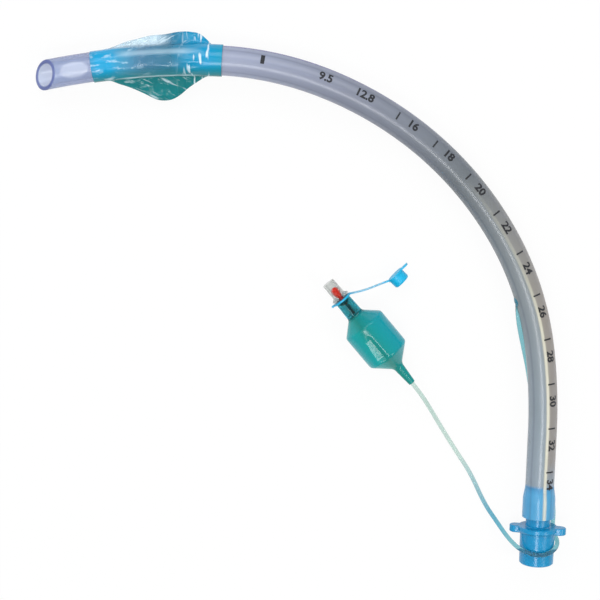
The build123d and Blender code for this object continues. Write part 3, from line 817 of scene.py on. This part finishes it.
def on_pilot_axis(w, angle, radius):
    """Points round the pilot axis: w along its heading, radius times cosine to its left, times sine up."""
    side = radius * np.cos(angle)
    x = PILOT_MOUTH[0] + w * np.cos(PILOT_HEADING) - side * np.sin(PILOT_HEADING)
    y = PILOT_MOUTH[1] + w * np.sin(PILOT_HEADING) + side * np.cos(PILOT_HEADING)
    return np.stack([x, y, PILOT_MOUTH[2] + radius * np.sin(angle)], -1)


# The outline's corners are rounded by a moving average. Small folds, sines round the axis, gather at the
# two shoulders.
along = np.linspace(BALLOON_OUTLINE[0, 0], BALLOON_OUTLINE[-1, 0], 240)
skin = np.interp(along, BALLOON_OUTLINE[:, 0], BALLOON_OUTLINE[:, 1])
bell = np.hanning(9) / np.hanning(9).sum()
skin = np.convolve(np.pad(skin, 4, mode="edge"), bell, mode="valid")[:, None]
turn = np.linspace(0, 2 * pi, 120, endpoint=False)[None, :]
w = along[:, None]
full = np.clip((skin - 0.0045) / 0.005, 0, 1)
fold = np.sin(5 * turn + 0.6) * np.exp(-((w - 0.0225) / 0.004) ** 2)
fold = fold + np.sin(6 * turn) * np.exp(-((w - 0.0435) / 0.004) ** 2)

# The limp patch on top is flat: a plane square to the patch's angle, which cuts the round skin. It deepens
# towards the tail and ends in a crease along the axis.
slack = np.clip((w - PATCH_START) / 0.003, 0, 1) * np.clip((PATCH_END - w) / 0.003, 0, 1)
slack = slack * np.clip(0.45 + 0.55 * (w - 0.030) / 0.009, 0, 1)
flat = skin * (1 - PATCH_DEPTH * slack) / np.cos(np.clip(turn - PATCH_ANGLE, -1.2, 1.2))
side = np.clip((turn - CREASE_ANGLE) / radians(6), 0, 1)
limp = skin + full * FOLD * fold - side * np.maximum(skin - flat, 0)
inside = np.maximum(limp - SKIN, np.where(w < NECK_END, NECK_BORE_R, LINE_R))
outer = on_pilot_axis(w + 0 * turn, turn + 0 * w, limp)
inner = on_pilot_axis((w + 0 * turn)[::-1], turn + 0 * w, inside[::-1])
balloon_points = np.concatenate([outer, inner])

# PVC dyed teal and blown: glossy, with the faint waves of a blown skin. Its colour is painted deepest along
# the crease: painted shade. The neck is thin and clear, so that the valve shows through it.
WAVE = 0.00143
blown_teal = empty_material("blown_teal_pvc")
place = node(blown_teal, "TexCoord", {})
lie = node(blown_teal, "Mapping", {
    "vector_type": "TEXTURE", "Vector": place.outputs["Object"], "Location": PILOT_MOUTH,
    "Rotation": (0, 0, PILOT_HEADING),
})
parts = node(blown_teal, "SeparateXYZ", {"Vector": lie.outputs[0]})
across = node(blown_teal, "MapRange", {
    "Value": parts.outputs["Y"], "From Min": -BALLOON_R, "From Max": BALLOON_R,
})
# Painted shade: the teal darkens towards the crease along the axis.
dye = node(blown_teal, "ValToRGB", {"Fac": across.outputs[0]})
stops(dye, [
    (0.0, "00a4ac", 1), (0.3, "009a98", 1), (0.45, "00867e", 1), (0.6, "009090", 1), (1.0, "00a0b2", 1),
])
grain = node(blown_teal, "TexNoise", {"Vector": lie.outputs[0], "Scale": 1 / WAVE, "Detail": 2.0})
relief = node(blown_teal, "Bump", {"Height": grain.outputs["Fac"], "Strength": 0.12, "Distance": 0.0003})
body = node(blown_teal, "BsdfPrincipled", {
    "Base Color": dye.outputs["Color"], "Roughness": 0.18, "IOR": 1.42, "Transmission Weight": 0.14,
    "Normal": relief.outputs[0],
})
neck = node(blown_teal, "BsdfPrincipled", {
    "Base Color": linear("d0f2f4"), "Roughness": 0.06, "IOR": 1.3, "Transmission Weight": 1.0,
})
through = node(blown_teal, "BsdfTransparent", {"Color": linear("a0f0f8")})
neck = node(blown_teal, "MixShader", {0: 0.5, 1: neck.outputs[0], 2: through.outputs[0]})
at_neck = node(blown_teal, "MapRange", {
    "Value": parts.outputs["X"], "From Min": 0.0195, "From Max": 0.0180, "To Max": 0.95,
})
both = node(blown_teal, "MixShader", {0: at_neck.outputs[0], 1: body.outputs[0], 2: neck.outputs[0]})
depth = node(blown_teal, "VolumeAbsorption", {"Color": linear("08ccd8"), "Density": 600.0})
node(blown_teal, "OutputMaterial", {"Surface": both.outputs[0], "Volume": depth.outputs[0]})
balloon = piece("pilot_balloon_skin", balloon_points, blown_teal)
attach(balloon, "set")
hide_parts("pilot_balloon")


# Connector: 15 mm male cone, grip flange with two lugs and barbed tail, moulded in one. It is pressed into
# the tube's end and held there by its barb.


def carry(name, material):
    """Gives a carried-over solid its material."""
    cad = bpy.data.objects[name]
    cad.data.materials.clear()
    cad.data.materials.append(material)
    return cad


# Polypropylene, injection moulded: an even blue that lets a little light through, with a soft gloss that
# wavers slightly where the moulding has shrunk.
blue_pp = empty_material("moulded_blue_polypropylene")
body = uneven(blue_pp, 0.0025, ("0080b4", "0092c4"), (0.18, 0.3), 0.00003, {"Transmission Weight": 0.08})
node(blue_pp, "OutputMaterial", {"Surface": body.outputs[0]})
carry("connector", blue_pp)


# Valve housing: clear moulded barrel with a collar and a 6 % taper for a syringe, glued into the balloon's
# neck. The plunger, seal and spring sit in it, open to view.

# Millimetres from the valve's mouth and the radius there: the outside, then back along the inside.
BARREL_OUTLINE = np.array([
    (0, 2.6), (0.2, 2.8), (7.3, 2.95), (8.2, 4.2), (8.6, 4.2), (9.2, 3.0), (17.6, 3.0),
    (17.6, 2.45), (10.6, 2.45), (10.6, 1.83), (0, 2.15),
]) / 1000
turn = np.linspace(0, 2 * pi, 72, endpoint=False)[None, :]
w = BARREL_OUTLINE[:, :1] + 0 * turn
barrel_points = on_pilot_axis(w, turn + 0 * w, BARREL_OUTLINE[:, 1:] + 0 * turn)

# Polycarbonate, injection moulded: clear and faintly grey, brighter and darker along its edges. Part of
# the light passes unbent, as it does through a wall with two parallel faces.
clear_pc = empty_material("moulded_clear_polycarbonate")
glass = uneven(clear_pc, 0.0020, ("e8eaea", "f2f4f4"), (0.08, 0.16), 0.00003,
               {"IOR": 1.35, "Transmission Weight": 1.0})
through = node(clear_pc, "BsdfTransparent", {"Color": linear("f0f1f0")})
body = node(clear_pc, "MixShader", {0: 0.68, 1: glass.outputs[0], 2: through.outputs[0]})
depth = node(clear_pc, "VolumeAbsorption", {"Color": linear("989c9c"), "Density": 110.0})
node(clear_pc, "OutputMaterial", {"Surface": body.outputs[0], "Volume": depth.outputs[0]})
housing = piece("valve_barrel", barrel_points, clear_pc)
housing.data.set_sharp_from_angle(angle=radians(30))
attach(housing, "set")
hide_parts("valve_housing")


# Valve guide: a slotted disc of the same clear polycarbonate, snapped into the housing's inner end. It
# holds the spring and centres the stem.

guide = carry("valve_guide", clear_pc)


# Valve plunger: a red drop with its stem, moulded in one. It slides in the housing and is pushed in by the
# syringe's tip.

# Acetal, injection moulded: bright red, opaque, with a satin gloss that wavers a little.
red_acetal = empty_material("moulded_red_acetal")
body = uneven(red_acetal, 0.0012, ("fa1e04", "ff3410"), (0.22, 0.38), 0.00002, {})
node(red_acetal, "OutputMaterial", {"Surface": body.outputs[0]})
plunger = carry("valve_plunger", red_acetal)


# Valve seal: a black rubber ring, stretched over the stem below the drop. The spring presses it against the
# housing's seat, which keeps the air in.

# Rubber, compression moulded: near black and matt, finely grained.
black_rubber = empty_material("moulded_black_rubber")
body = uneven(black_rubber, 0.0005, ("161618", "242426"), (0.55, 0.75), 0.00003, {})
node(black_rubber, "OutputMaterial", {"Surface": body.outputs[0]})
seal = carry("valve_seal", black_rubber)


# Valve spring: an open coil of stainless wire, slipped over the stem between the seal and the guide. It
# closes the valve again once the syringe is drawn off.

# Stainless steel, drawn to wire: bare metal, with the dull and bright spots that the die leaves.
spring_wire = empty_material("drawn_stainless_wire")
body = uneven(spring_wire, 0.0004, ("84868a", "9a9ca0"), (0.25, 0.4), 0.00001, {"Metallic": 1.0})
node(spring_wire, "OutputMaterial", {"Surface": body.outputs[0]})
spring = carry("valve_spring", spring_wire)


# Cap: soft blue PVC, moulded in one with its strap, ring and finger tab. The ring is slipped over the
# housing, between its collar and the balloon's neck, and the cap lies open beside it.

# Soft PVC, injection moulded: solid blue in the cap, satin, while light comes through the thin strap and,
# less so, the ring. X is the distance across the table, and the strap runs from 22 to 34 mm.
soft_blue = empty_material("moulded_soft_blue_pvc")
place = node(soft_blue, "TexCoord", {})
spot = node(soft_blue, "SeparateXYZ", {"Vector": place.outputs["Object"]})
thin = node(soft_blue, "MapRange", {
    "Value": spot.outputs["X"], "From Min": 0.0365, "From Max": 0.034, "To Min": 0.1, "To Max": 0.7,
})
off_ring = node(soft_blue, "MapRange", {
    "Value": spot.outputs["X"], "From Min": 0.0195, "From Max": 0.022, "To Min": 0.25, "To Max": 1.0,
})
thin = node(soft_blue, "Math", {"operation": "MULTIPLY", 0: thin.outputs[0], 1: off_ring.outputs[0]})
solid = uneven(soft_blue, 0.0015, ("00aada", "00b6e0"), (0.35, 0.5), 0.00003, {})
clear = node(soft_blue, "BsdfPrincipled", {
    "Base Color": linear("d8f4fc"), "Roughness": 0.3, "IOR": 1.3, "Transmission Weight": 1.0,
})
body = node(soft_blue, "MixShader", {0: thin.outputs[0], 1: solid.outputs[0], 2: clear.outputs[0]})
depth = node(soft_blue, "VolumeAbsorption", {"Color": linear("50c4e6"), "Density": 300.0})
node(soft_blue, "OutputMaterial", {"Surface": body.outputs[0], "Volume": depth.outputs[0]})
cap = carry("cap_strap", soft_blue)
